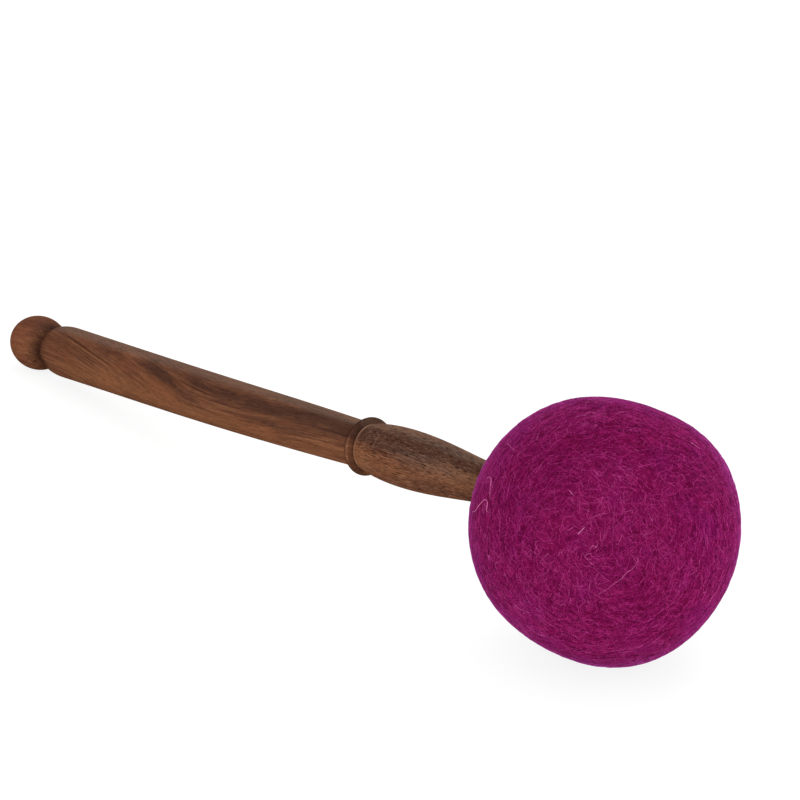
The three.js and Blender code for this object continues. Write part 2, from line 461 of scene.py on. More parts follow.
def wood_figure(wood, grain, heart, along, layer):
    """Dark and pale streaks where the heart attribute has them, and single veins."""
    blotch = wood.drawn_out(grain, (0.09, 0.7, 0.5), (11, 5, 3), detail=4, roughness=0.65)
    dark = wood.times(heart, wood.between(blotch, 0.24, 0.56, 0.4, 1), clamp=True)
    wood.tinge((60, 39, 33), dark, 0.8)
    pale = wood.times(heart, -1, wood.between(blotch, 0.3, 0.6, 0.6, 1), clamp=True)
    wood.tinge((141, 92, 60), pale)
    for middle, start, end, width, share, shade in VEINS:
        away = wood.math("ABSOLUTE", wood.math("SUBTRACT", layer, middle))
        wood.tinge(
            shade,
            wood.between(away, VEIN_CORE, width, share, 0),
            wood.between(along, start, start + VEIN_FADE),
            wood.between(along, end - VEIN_FADE, end, 1, 0),
        )


def wood_pommel(wood, grain, along):
    """A redder pommel with growth rings on its end."""
    wood.tinge((118, 66, 48), wood.between(along, *POMMEL_FRONT, 0.28, 0))
    rings = wood.drawn_out(grain, (0.02, 0.95, 0.16), (0, 15, 25), detail=3, roughness=0.6)
    at_end = wood.between(along, *POMMEL_END, 0.75, 0)
    wood.tinge((78, 46, 35), at_end, wood.between(rings, 0.42, 0.58))


def wood_swell(wood, grain, along, on_swell, in_dark):
    """Pale and dark turning marks round the swell's foot, and crisp threads along the swell."""
    marks = wood.drawn_out(grain, (1.1, 0.1, 0.1), (7, 30, 70), detail=2, roughness=0.6)
    marked = wood.times(wood.between(along, *MARKS_START), wood.between(along, *MARKS_END, 0.4, 0))
    wood.tinge((140, 100, 84), marked, wood.between(marks, 0.52, 0.66, 0, 0.5))
    wood.tinge((48, 28, 24), marked, wood.between(marks, 0.34, 0.48, 1, 0))
    threads = wood.drawn_out(grain, (0.11, 4.4, 4.4), (40, 10, 60), detail=1)
    wood.tinge((62, 38, 31), on_swell, wood.between(threads, 0.36, 0.47, 0.5, 0))
    pale, fade = wood.between(threads, 0.54, 0.66, 0, 0.42), wood.between(in_dark, 0, 1, 1, 0.25)
    wood.tinge((142, 104, 82), on_swell, wood.times(pale, fade))


def wood_pores(wood, grain, on_swell, in_dark):
    """Short dark pores and pale flecks, both stronger on the swell and in dark wood."""
    dashes = wood.drawn_out(grain, (0.32, 3.4, 3.4), (300, 0, 50), detail=1)
    flecks = wood.drawn_out(grain, (0.5, 4.2, 4.2), (50, 80, 10), detail=1)
    pores = wood.between(dashes, 0.57, 0.69)
    depth = wood.times(wood.between(on_swell, 0, 1, 0.5, 1), wood.between(in_dark, 0, 1, 0.8, 1))
    wood.tinge((48, 28, 20), pores, depth)
    gleam = wood.times(wood.between(on_swell, 0, 1, 0.04, 0.4), wood.between(in_dark, 0, 1, 0.5, 1))
    wood.tinge((150, 118, 102), wood.between(flecks, 0.58, 0.7), gleam)
    return pores


def oiled_wood():
    """Reddish hardwood along the grain attribute, with heart streaks, a painted grey sheen on top,
    and painted edge light and shade.
    """
    wood = Surface("oiled_hardwood")
    grain = wood.attribute("grain", "Vector")
    heart, wear, bloom = (wood.attribute(name) for name in ("heart", "wear", "bloom"))
    along, layer = (wood.add("SeparateXYZ", {0: grain}, part) for part in "XY")
    on_swell = wood.between(along, *SWELL_CHANGE)
    in_dark = wood.between(heart, *DARK_WOOD)
    streaks = wood.drawn_out(grain, (0.09, 2.9, 2.9), (90, 40, 20), detail=3, roughness=0.65)
    wood_ground(wood, grain, streaks)
    wood_figure(wood, grain, heart, along, layer)
    wood_pommel(wood, grain, along)
    # A painted grey sheen along the upper side of the stick, laid on with the grey streaks.
    wood.tinge((110, 96, 86), wood.between(bloom, 0, 1, 0, 0.4))
    wood_swell(wood, grain, along, on_swell, in_dark)
    pores = wood_pores(wood, grain, on_swell, in_dark)
    # painted highlights on the turned edges
    wood.tinge((162, 118, 98), wood.between(wear, 0, 1.5, 0, 0.85))
    # painted shade in the neck, on the collar and in its cuts, partly grime in the neck
    wood.tinge((38, 21, 16), wood.between(wear, -1, 0, 0.75, 0))
    wood.relief(wood.math("SUBTRACT", wood.times(streaks, 0.35), pores), 0.06, 0.7)
    rough = wood.math("ADD", wood.weigh((streaks, 0.22), (pores, 0.15)), 0.38)
    return wood.finish(rough, Specular_IOR_Level=0)


def plain_core():
    """Pale bare wood of the turned core, with long straight grain and fine pores."""
    core = Surface("bare_core_wood")
    place = core.place()
    rings = core.drawn_out(place, (0.03, 0.9, 0.25), detail=3, roughness=0.6)
    flecks = core.drawn_out(place, (0.4, 3.2, 3.2), detail=1)
    core.color = core.ramp(rings, (
        (0.35, (176, 132, 86)), (0.55, (204, 164, 114)), (0.7, (218, 184, 136)),
    ))
    core.tinge((140, 98, 60), core.between(flecks, 0.6, 0.72, 0, 0.4))
    core.relief(core.math("SUBTRACT", rings, flecks), 0.05, 0.5)
    return core.finish(core.between(rings, 0.3, 0.7, 0.55, 0.7), Specular_IOR_Level=0.35)


# Wool: dark, middle and light, and the shades of its more violet and its redder patches
FELT_SHADES = ((76, 0, 38), (104, 2, 60), (136, 22, 92), (110, 6, 80), (110, 2, 52))
CREAM_SHADES = ((176, 164, 142), (216, 206, 184), (236, 230, 214), (222, 214, 196), (206, 190, 160))


def fibre_lines(felt, place, offset, scale, repeats):
    """Thin curving lines, as of fibres side by side, from the contours of a soft noise."""
    height = felt.noise(
        felt.shift(place, offset), scale=scale, detail=2, roughness=0.45, distortion=0.7,
    )
    return felt.math("POWER", felt.math("PINGPONG", felt.times(height, repeats), 1), 1.6)


def dyed_felt(name, shades):
    """Felted wool: crossing fibre lines over a patchy ground, with a soft pile."""
    felt = Surface(name)
    dark, middle, light, violet, red = shades
    place = felt.place()
    first = fibre_lines(felt, place, (3, 7, 1), 0.16, 22)
    second = fibre_lines(felt, place, (31, 17, 11), 0.24, 16)
    third = fibre_lines(felt, place, (61, 47, 81), 0.4, 11)
    fibres = felt.math("MAXIMUM", first, felt.math("MAXIMUM", second, third))
    mottle = felt.noise(place, scale=0.5, detail=3, roughness=0.6)
    tone = felt.weigh((fibres, 0.6), (mottle, 0.5))
    felt.color = felt.ramp(tone, ((0.25, dark), (0.6, middle), (0.95, light)))
    patch = felt.noise(felt.shift(place, (5, 9, 2)), scale=0.09, detail=2)
    felt.tinge(violet, felt.between(patch, 0.5, 0.72, 0, 0.35))
    felt.tinge(red, felt.between(patch, 0.3, 0.48, 0.3, 0))
    felt.relief(fibres, 0.12, 0.8)
    return felt.finish(
        felt.between(mottle, 0.2, 0.8, 0.8, 0.95),
        Sheen_Tint=tint(255, 110, 230), Sheen_Weight=0.1, Sheen_Roughness=0.4,
        Specular_IOR_Level=0.05,
    )


def dyed_fibre(name, stops, sheen):
    """Single strands, each of its own tone, with painted shade darkening them where they dive into
    the felt.
    """
    strand = Surface(name)
    place = strand.place()
    speckle = strand.between(strand.noise(place, scale=2, detail=1), 0.25, 0.75, -0.08, 0.08)
    strand.color = strand.ramp(strand.math("ADD", strand.attribute("tone"), speckle), stops)
    along = strand.attribute("along")
    from_middle = strand.math("ABSOLUTE", strand.math("SUBTRACT", along, 0.5))
    # painted shade on the strands' ends, where they dive under the felt
    strand.tinge(stops[0][1], strand.between(from_middle, 0.3, 0.5, 0, 0.35))
    patch = strand.math("ADD", strand.noise(place, scale=0.1, detail=2), strand.attribute("hue"))
    strand.tinge((124, 14, 100), strand.between(patch, 0.5, 0.7, 0, 0.18))
    strand.tinge((140, 8, 64), strand.between(patch, 0.3, 0.5, 0.18, 0))
    return strand.finish(
        strand.between(along, 0, 1, 0.62, 0.78),
        Sheen_Tint=tint(*sheen), Sheen_Weight=0.75, Sheen_Roughness=0.34, Specular_IOR_Level=0.04,
    )


# The stick

def bezier(start, length, pulls, radii, count):
    """Stations and radii along a cubic curve, with its two pulls as shares of its length."""
    end = start + length
    stations = (start, start + length * pulls[0], end - length * pulls[1], end)
    t = np.linspace(0, 1, count)
    weights = ((1 - t) ** 3, 3 * (1 - t) ** 2 * t, 3 * (1 - t) * t ** 2, t ** 3)
    lines = [sum(w * p for w, p in zip(weights, line)) for line in (stations, radii)]
    return np.stack(lines, axis=1)


def arc(middle, half_length, base, rise, start, end, count):
    """Part of an ellipse about (middle, base): stations and radii, with angles from its top."""
    angle = np.linspace(start, end, count)
    return np.stack([middle + half_length * np.sin(angle), base + rise * np.cos(angle)], axis=1)


def quirk(station):
    """A narrow cut beside the collar."""
    share, depth = np.array(QUIRK_CUT).T
    return np.stack([station + share * QUIRK_WIDTH, GRIP_RADII[3] - depth * QUIRK_DEPTH], axis=1)


def taper(count):
    return bezier(SWELL_STATION, TAPER_LENGTH, TAPER_PULLS, TAPER_RADII, count)


def stick_profile():
    """Stations and radii from pommel to tenon. Each stretch has its number of rings last."""
    quarter = math.pi / 2
    neck = NECK_LENGTH / 2
    shoulder = GRIP_RADII[0] - NECK_RADIUS
    foot = GRIP_RADII[3]
    profile = np.vstack((
        arc(POMMEL_STATION, POMMEL_STATION, 0, POMMEL_RADIUS, -quarter, NECK_SLANT, 54),
        arc(NECK_STATION + neck, neck, NECK_RADIUS, -NECK_DIP, -quarter, quarter, 12)[1:],
        arc(GRIP_STATION, SHOULDER_LENGTH, NECK_RADIUS, shoulder, -quarter, 0, 20)[1:],
        bezier(GRIP_STATION, GRIP_LENGTH, GRIP_PULLS, GRIP_RADII, 210)[1:],
        quirk(QUIRK_STATION),
        arc(COLLAR_STATION, COLLAR_WIDTH / 2, foot, COLLAR_RADIUS - foot, -quarter, quarter, 32),
        quirk(QUIRK_STATION + QUIRK_WIDTH + COLLAR_WIDTH),
        bezier(SWELL_FOOT, SWELL_LENGTH, SWELL_PULLS, SWELL_RADII, 80),
        taper(100)[1:],
        [(TENON_STATION + HEAD_SETBACK / 2, TENON_RADIUS)],
        [(TIP_STATION - TENON_CHAMFER, TENON_RADIUS)],
        [(TIP_STATION, TENON_RADIUS - TENON_CHAMFER)],
        [(TIP_STATION, 0)],
    ))
    profile[0, 1] = 0
    return profile


BLANK_TURN = math.radians(27)  # how far the streaked face of the blank is turned up from -Y
# Along each streak: distance from the pommel's middle, angle up the stick, half width, strength
DARK_STREAKS = (
    ((56, 38, 9, 0), (66, 33, 12, 0.9), (73, 25, 13, 1.2), (82, 12, 12, 1.2), (90, -6, 10, 1),
     (96, -17, 9, 0.8), (104, -26, 8, 0)),
    ((76, 36, 8, 0), (84, 34, 9, 0.5), (94, 26, 13, 1), (106, 20, 14, 1.1), (125, 20, 17, 1.2),
     (146, 22, 17, 1.25), (160, 28, 21, 1.55), (170, 26, 21, 1.55), (176, 27, 16, 1.55),
     (186, 20, 19, 1.6), (200, 29, 22, 1.5), (215, 36, 25, 1.4), (235, 34, 24, 1.1),
     (262, 20, 16, 0.5), (285, 10, 12, 0)),
    ((116, -20, 6, 0), (128, -15, 9, 0.7), (138, -18, 10, 0.8), (150, -14, 10, 0.9),
     (158, -12, 8, 0.5), (166, -16, 7, 0)),
    ((9, 22, 12, 0), (14, 20, 12, 0.45), (18, 18, 15, 0.5), (24, 12, 22, 0.55), (40, 8, 20, 0.5),
     (50, 16, 16, 0.2), (60, 24, 14, 0)),
    ((-12, 40, 14, 0.3), (-4, 38, 16, 0.5), (2, 44, 18, 0.7), (6, 54, 22, 1), (9, 54, 18, 0.5),
     (14, 50, 12, 0)),
    ((1, 84, 18, 0), (4, 80, 26, 0.8), (8, 78, 28, 1), (12, 76, 20, 0)),
    ((24, 150, 9, 0), (50, 160, 12, 0.8), (90, 172, 10, 1), (130, 168, 12, 0.7), (180, 175, 14, 0)),
    ((120, 228, 8, 0), (150, 222, 12, 0.9), (200, 232, 14, 1), (250, 226, 10, 0)),
)
PALE_STREAKS = (
    ((-12, -8, 18, 0.2), (-2, -8, 20, 0.35), (5, -8, 20, 0.5), (9, -8, 16, 0)),
    ((174, -48, 20, 0), (175, -48, 30, 1), (178, -36, 26, 0.85), (182, -27, 16, 0.6),
     (190, -26, 15, 0.5), (204, -20, 12, 0.4), (214, -18, 10, 0)),
    ((14, -36, 18, 0), (30, -36, 20, 0.35), (50, -38, 24, 0.6), (70, -42, 22, 0.55),
     (90, -48, 20, 0.4), (110, -54, 16, 0.4), (150, -46, 18, 0.3), (176, -28, 13, 0.35),
     (200, -14, 13, 0.4), (222, -10, 14, 0.5), (240, -10, 12, 0)),
    ((30, 262, 14, 0), (70, 256, 18, 0.5), (120, 266, 14, 0.4), (190, 258, 20, 0.5),
     (235, 262, 16, 0)),
)
GREY_STREAKS = (
    ((186, 10, 10, 0), (198, 4, 14, 0.45), (208, 0, 16, 0.6), (220, -4, 16, 0.55),
     (235, -6, 14, 0)),
)
GRAIN_WAVES = ((-12.3, 10, 95), (4, 100, 72), (-1.2, 170, 60))  # rise, start and length
ALL_ROUND = 400  # a spread in degrees that leaves all sides alike
# Painted highlights on the collar's and swell foot's edges, painted shade in the neck, collar and
# cuts; partly grime in the neck
EDGE_LIGHT_SHADE_AND_GRIME = (  # station, half widths to the rear and the front, paler or darker, angle, spread
    (NECK_STATION + 1.2, 2.4, 3.6, -0.85, 0, ALL_ROUND),
    (NECK_STATION + 2.6, 4, 3.6, -0.55, -60, 32),
    (QUIRK_STATION - 1.65, 0.4, 0.3, 0.35, -20, 40),
    (QUIRK_STATION - 1.05, 0.25, 0.3, -0.6, 0, ALL_ROUND),
    (COLLAR_STATION - 0.2, 0.8, 0.7, -0.74, 0, ALL_ROUND),
    (COLLAR_STATION, 0.8, 0.9, -0.5, 62, 26),
    (COLLAR_STATION, 0.8, 0.9, -0.6, -82, 28),
    (COLLAR_STATION + 0.42, 0.16, 0.15, 1.25, -12, 22),
    (SWELL_FOOT - 0.45, 0.4, 0.35, -0.3, 0, ALL_ROUND),
    (SWELL_FOOT + 0.35, 0.32, 0.35, 1.7, 50, 22),
    (SWELL_FOOT + 0.35, 0.32, 0.4, 0.9, -62, 18),
    (SWELL_FOOT + 0.7, 0.35, 0.5, 0.7, 0, 60),
)


def grain_shift(along):
    """How far the wood's layers have risen along the stick, below 0 where they have sunk."""
    return sum(rise * smooth_step((along - start) / length) for rise, start, length in GRAIN_WAVES)


def streak_strength(streaks, along, angle):
    """How strongly the nearest streak shows at each point."""
    strongest = np.zeros(len(along))
    for streak in streaks:
        place, middle, half, strength = np.array(streak, dtype=float).T
        away = turned_off(angle, np.interp(along, place, middle))
        here = np.interp(along, place, strength, left=0, right=0)
        strongest = np.maximum(strongest, here * bell(away / np.interp(along, place, half)))
    return strongest


def edge_wear(station, angle):
    """How much paler or darker each point is painted: edge highlights and shade, with some grime in
    the neck.
    """
    wear = np.zeros(len(station))
    for middle, rear_half, front_half, amount, facing, spread in EDGE_LIGHT_SHADE_AND_GRIME:
        half = np.where(station < middle, rear_half, front_half)
        around = turned_off(angle, facing) / spread
        wear += amount * np.exp(-(((station - middle) / half) ** 2 + around ** 2) / 2)
    return wear


def stick_values(stick, points):
    """The grain, dark heart streaks, painted sheen on top, and painted edge light and shade with
    some grime, at each point.
    """
    along, level, high = points.T
    up = level * math.sin(BLANK_TURN) + high * math.cos(BLANK_TURN)
    near = high * math.sin(BLANK_TURN) - level * math.cos(BLANK_TURN)
    drift = 0.7 * wave(points * (0.3, 1, 1), 12, 4.2)
    angle = np.degrees(np.arctan2(up, near))
    # A broad darker band along the upper side of the stick, added to the dark streaks.
    shade = (0.24 + 0.18 * smooth_step((along - 50) / 40)) * bell((angle - 42) / 34)
    dark = np.maximum(shade, streak_strength(DARK_STREAKS, along, angle))
    # painted sheen: greyer along the top, where the bright surround would be reflected
    on_top = smooth_step((angle - 28) / 34) * smooth_step((150 - angle) / 40)
    bloom = on_top * (0.2 + 0.8 * smooth_step((along - 5) / 9))
    give_values(
        stick,
        grain=np.stack([along, up - grain_shift(along) + drift, near], axis=1),
        bloom=bloom + streak_strength(GREY_STREAKS, along, angle),
        heart=dark - streak_strength(PALE_STREAKS, along, angle),
        wear=edge_wear(along + POMMEL_STATION, angle) * (0.85 + 0.4 * wave(points, 5, 8.1)),
    )


def make_stick():
    points, faces, corners = turned(stick_profile() - (POMMEL_STATION, 0), STICK_SIDES)
    bent = points.copy()
    bent[:, 2] -= STICK_BOW * np.sin(np.pi * np.clip(points[:, 0] / BOW_LENGTH, 0, 1)) ** 2
    stick = add_piece("oiled_stick", bent, faces, STICK_PLACE, oiled_wood(), corners)
    stick_values(stick, points)
    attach(stick, "root")
    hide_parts("turned_handle")


# The head

def make_core():
    """The ball that the tenon is glued into, turned on the stick's axis with its mouth eased."""
    bore = TENON_RADIUS + SEAT_GAP
    reach = TENON_REACH + SEAT_GAP
    mouth = math.asin(bore / CORE_RADIUS)
    rim = -CORE_RADIUS * math.cos(mouth)
    outside = arc(0, CORE_RADIUS, 0, CORE_RADIUS, mouth - math.pi / 2, math.pi / 2, 60)
    outside[0] = (rim - MOUTH_RIM, bore + MOUTH_WIDTH)
    outside[-1, 1] = 0
    inside = [
        (reach, 0),
        (reach, bore - BORE_CHAMFER),
        (reach - BORE_CHAMFER, bore),
        (rim + MOUTH_DEPTH, bore),
    ]
    points, faces, corners = turned(np.vstack([inside, outside]), INNER_SIDES)
    core = add_piece("turned_core", points, faces, CORE_PLACE, plain_core(), corners)
    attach(core, "root")
    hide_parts("head_core")


def felt_rise(directions):
    """How far the felt stands out of its mean ball, with the dimple where the stick goes in."""
    rise = np.zeros(len(directions))
    for turn, lift, spread, share in LUMPS:
        rise += LUMP_HEIGHT * share * nearness(directions, turn, lift, spread)
    spots = directions * HEAD_RADIUS - CORE_OFFSET
    depth = spots @ STICK_AXIS
    off_axis = np.linalg.norm(spots - depth[:, None] * STICK_AXIS, axis=1)
    edge = np.clip(off_axis - TENON_RADIUS, 0, None)
    dimple = DIMPLE_DEPTH * np.exp(-((edge / DIMPLE_REACH) ** 1.5))
    return rise - np.where(depth < 0, dimple, 0)


def on_felt(directions, lift):
    """Points about the felt's centre, lift above its surface, and never below the floor."""
    points = directions * (HEAD_RADIUS + felt_rise(directions) + lift)[:, None]
    points[:, 2] = np.maximum(points[:, 2], -HEAD_HEIGHT)
    return points


def head_passage():
    """The stick's way into the head, as a closed turned mesh that leaves it a little room."""
    wall = np.vstack([taper(14)[4:], [(HEAD_STATION, TENON_RADIUS)]]) + (0, PASSAGE_GAP)
    profile = np.vstack([[(wall[0, 0], 0)], wall, [(HEAD_STATION, 0)]]) - (POMMEL_STATION, 0)
    points, faces, corners = turned(profile, INNER_SIDES)
    return points, faces, np.array(corners) * PASSAGE_BAND


def hollow_ball(name, ball, points, inner_radius, inner_middle, material):
    """A soft layer of the head: its outside, less the ball within it and the stick's way in."""
    _, quads, *charts = ball
    corners = ball_map(*charts, *OUTSIDE_BAND)
    layer = add_piece(name, points, quads.tolist(), HEAD_PLACE, material, corners)
    spots, quads, *charts = ball_of_quads(INNER_CELLS)
    spots = spots * (inner_radius + SEAT_GAP) + inner_middle
    corners = ball_map(*charts, *HOLLOW_BAND)
    hollow = add_piece("hollow", spots, quads.tolist(), HEAD_PLACE, material, corners)
    spots, faces, corners = head_passage()
    passage = add_piece("passage", spots, faces, STICK_PLACE, material, corners)
    cut_away(layer, hollow, passage)
    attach(layer, "root")
    return layer


def make_padding():
    ball = ball_of_quads(PADDING_CELLS)
    directions = ball[0]
    fine = WOOL_BUMPS * wave(directions * PADDING_RADIUS * (1, 1, 2.2), 5, 6.3) - WOOL_BUMPS
    points = directions * (PADDING_RADIUS + fine)[:, None]
    material = dyed_felt("undyed_wool", CREAM_SHADES)
    wool = hollow_ball("wound_wool", ball, points, CORE_RADIUS, CORE_OFFSET, material)
    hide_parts("wool_padding")


def make_felt():
    ball = ball_of_quads(FELT_CELLS)
    spots = ball[0] * HEAD_RADIUS
    fine = sum(height * wave(spots, pitch, seed) for height, pitch, seed in FELT_BUMPS)
    points = on_felt(ball[0], fine - FELT_SINK)
    material = dyed_felt("dyed_felt", FELT_SHADES)
    felt = hollow_ball("felt_ball", ball, points, PADDING_RADIUS, (0, 0, 0), material)
    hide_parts("felt_cover")


# Strands of wool on the felt

TONES = 64  # each with its own column of the baked map
COLUMN_START, COLUMN_STEP, CAP_HEIGHT = 0.1, 0.25, 0.02  # where a strand lies in its column
TUBE_TURNS = np.array([math.pi / 2, math.pi * 7 / 6, math.pi * 11 / 6])
STRAND_SOFTNESS = 1  # how far a strand is shaded with the felt that it lies on
STRAND_TONES = (
    (0.0, (72, 0, 34)),
    (0.2, (104, 0, 56)),
    (0.4, (130, 14, 83)),
    (0.6, (150, 31, 98)),
    (0.8, (164, 51, 119)),
    (1.0, (196, 96, 154)),
)
LOOSE_TONES = (*STRAND_TONES[:-1], (1.0, (214, 116, 170)))
SOFT_ZONES = (  # compass angle, rise and spread in degrees, paler or darker, more violet or redder
    (282, 49, 10, -0.075, 0),
    (299, 17, 20, 0.035, 0),
    (19, 61, 20, -0.035, 0),
    (277, -24, 10, 0.085, 0.1),
    (328, 2, 7, -0.06, -0.08),
    (311, -1, 7, 0.05, 0),
    (318, -18, 7, -0.05, 0),
    (350, 36, 7, 0.035, 0.04),
    (0, 28, 7, -0.045, 0),
    (284, 36, 7, -0.035, 0),
    (303, 68, 7, 0, -0.12),
    (339, -14, 10, 0, 0.1),
    (325, 39, 7, 0.02, 0.12),
    (274, 5, 7, 0, -0.1),
    (250, 47, 10, 0, 0.12),
    (298, 42, 7, 0, -0.1),
)
SPIRAL_TURN = math.pi * (3 - math.sqrt(5))
TONE_STEP = 0.754878  # takes neighbours on the spiral to tones far apart
TONE_SPREAD, TONE_LIMIT = (1.45, 1.48), 0.97  # the beta curve that tones are drawn from
COMBING_POLE = compass(322, 22)  # the spot that the wool was rubbed round
COMBING_PULL = 3.6  # and how strongly
COMBING_WAVERS = (  # direction and pitch
    (1.1, 2.3, 0.7, 3.1), (2.7, 0.4, 1.9, 2.2), (0.6, 1.7, 2.9, 2.7), (1.9, 0.9, 0.3, 4.3),
)
TANGLE, TANGLE_SPREAD = 1.5, 26  # how much more strands stray near it, and within what degrees
STRAY = 0.42  # how far strands stray from the combing, in radians
CROSSING_SHARE = 0.16  # the share of strands that lie across it
CURL, CRIMP = 0.14, 0.2  # how much strands bend one way, and to and fro, at each step
CRIMP_PITCH = (0.9, 2.2)  # how fast they bend to and fro, in radians a step
DIP, LOOSE_DIP = 0.16, 0.1  # how deep their ends dive into the felt
END_SHARE = 0.35  # how wide their ends are, as a share of their middles
STRAND_SEED = 31
STRAND_LAYERS = (  # strands, steps along each, lengths, widths, lifts and palest tone
    (9900, 3, (1.8, 3.8), (0.2, 0.3), (-0.16, -0.04), 0.85),
    (9900, 3, (2, 4.2), (0.2, 0.28), (-0.13, 0), 0.85),
    (7600, 4, (2.6, 5.6), (0.18, 0.26), (-0.1, 0.04), 0.85),
    (6200, 5, (3.2, 7), (0.16, 0.23), (-0.06, 0.08), 0.84),
    (5200, 6, (4.4, 9), (0.13, 0.2), (-0.02, 0.12), 0.76),
    (4400, 7, (6, 12), (0.1, 0.15), (0.02, 0.18), 0.72),
)
LOOSE_STEPS = 24
LOOSE_STRANDS = (  # compass angle and rise on the head of each point, width, lift and tone
    (((236.2, 10.4), (243.8, 13.1), (248, 17.3), (251.8, 21.5), (255, 21.2), (255.3, 18.1),
      (256.5, 17.9)), 0.22, 0.9, 0.95),
    (((255.4, 21.4), (252.4, 25.4), (249.7, 29.3), (246.6, 30), (243.8, 28.7), (242.4, 26.5)),
     0.2, 0.8, 0.9),
    (((306.9, 20.2), (308.1, 21.7), (309.9, 23.7)), 0.24, 0.5, 1),
    (((312.4, 14.4), (313.2, 15.6), (314.2, 16.3), (315.1, 15.7), (315.8, 16.7), (315.9, 18.2)),
     0.22, 0.5, 0.86),
    (((313.7, 10.3), (311.5, 10.7), (310.7, 11.6), (311.4, 12.5), (312.9, 12.9), (313.7, 12.2)),
     0.22, 0.5, 0.86),
    (((331.9, 13.9), (333, 12), (332.6, 9.1), (330.8, 6.7), (328, 5), (325.8, 2.3), (323, 0.3),
      (320.6, -2), (317.5, -4.2), (314.3, -5.9)), 0.17, 0.35, 0.85),
    (((298.9, 38.2), (300.7, 37.2), (302.8, 35.9)), 0.2, 0.3, 0.9),
    (((265.9, 72.8), (269.7, 75.3), (277.5, 76.4), (276.6, 79.1), (290.6, 80), (289.5, 85.4)),
     0.16, 0.35, 0.85),
    (((230.1, 43.1), (242.6, 44.8), (250.2, 45.1)), 0.16, 0.3, 0.85),
    (((259, 54.4), (255.9, 56.1)), 0.16, 0.3, 0.85),
    (((33.8, 52.2), (33.7, 49.9), (34.9, 47.3), (36.6, 44.7)), 0.17, 0.3, 0.9),
    (((6, 41.9), (5.8, 39.6), (6, 37.4)), 0.16, 0.3, 0.8),
)


def combing(directions):
    """Which way the wool was rubbed at each spot of the ball: wavering rings round one spot."""
    pull = np.zeros_like(directions)
    for number, (a, b, c, pitch) in enumerate(COMBING_WAVERS):
        swing = np.sin(directions @ np.array([a, b, c]) * pitch / 1.6 + number * 1.7)
        pull += swing[:, None] * np.array([b - 1.5, c - 1.2, a - 1.4])
    return unit(np.cross(pull + COMBING_PULL * COMBING_POLE, directions))


def even_spots(generator, count):
    """Directions spread evenly over the ball in a spiral, each moved a little at random."""
    number = np.arange(count)
    high = 1 - (2 * number + 1) / count
    level = np.sqrt(1 - high ** 2)
    turn = number * SPIRAL_TURN + generator.uniform(0, 2 * math.pi)
    spots = np.stack([level * np.cos(turn), level * np.sin(turn), high], axis=1)
    return unit(spots + generator.normal(0, 1 / math.sqrt(count), spots.shape))


def steer(spots, heading, angle):
    """Turns headings over the ball by an angle at each spot."""
    side = np.cross(spots, heading)
    return heading * np.cos(angle)[:, None] + side * np.sin(angle)[:, None]


def strand_routes(generator, count, steps, lengths, lift):
    """Points of many strands over the felt, in millimetres: strands by steps by three."""
    spots = even_spots(generator, count)
    near_pole = np.exp(-((degrees_off(spots, COMBING_POLE) / TANGLE_SPREAD) ** 2))
    angle = generator.normal(0, STRAY, count) * (1 + TANGLE * near_pole)
    angle = angle + np.where(generator.random(count) < CROSSING_SHARE, math.pi / 2, 0)
    heading = steer(spots, combing(spots), angle)
    step = generator.uniform(*lengths, count) / steps / HEAD_RADIUS
    bend = generator.normal(0, CURL, count)
    phase = generator.uniform(0, 2 * math.pi, count)
    pitch = generator.uniform(*CRIMP_PITCH, count)
    routes = [spots]
    for number in range(steps):
        heading = unit(steer(spots, heading, bend + CRIMP * np.sin(phase + number * pitch)))
        spots = unit(spots + heading * step[:, None])
        heading = unit(heading - spots * np.sum(spots * heading, axis=1)[:, None])
        routes.append(spots)
    routes = np.stack(routes, axis=1)
    arch = np.sin(math.pi * np.linspace(0, 1, steps + 1))
    rise = generator.uniform(*lift, count)[:, None] * arch ** 0.7 - DIP * (1 - arch)
    return on_felt(routes.reshape(-1, 3), rise.ravel()).reshape(routes.shape)


def zone_values(directions):
    """How much paler and how much more violet the wool is at each direction."""
    shift = np.zeros((len(directions), 2))
    for turn, rise, spread, paler, hue in SOFT_ZONES:
        shift += nearness(directions, turn, rise, spread)[:, None] * (paler, hue)
    return shift.T


def strand_map(levels, share):
    """Places on the baked map: each tone's column, with the strand's length up it."""
    places = (levels[:, None] + COLUMN_START + COLUMN_STEP * np.arange(4)) / TONES
    left, right, low, high = np.broadcast_arrays(
        places[:, None, :3], places[:, None, 1:], share[:-1, None], share[1:, None],
    )
    quads = np.stack([
        np.stack(corner, axis=-1)
        for corner in ((left, low), (left, high), (right, high), (right, low))
    ], axis=3)
    caps = np.stack([places[:, :3], np.zeros((len(levels), 3))], axis=-1)
    start = caps + [(0, 0), (0, CAP_HEIGHT), (0, 0)]
    end = caps[:, ::-1] + [(0, 1), (0, 1 - CAP_HEIGHT), (0, 1)]
    return np.concatenate([part.reshape(-1, 2) for part in (quads, start, end)])


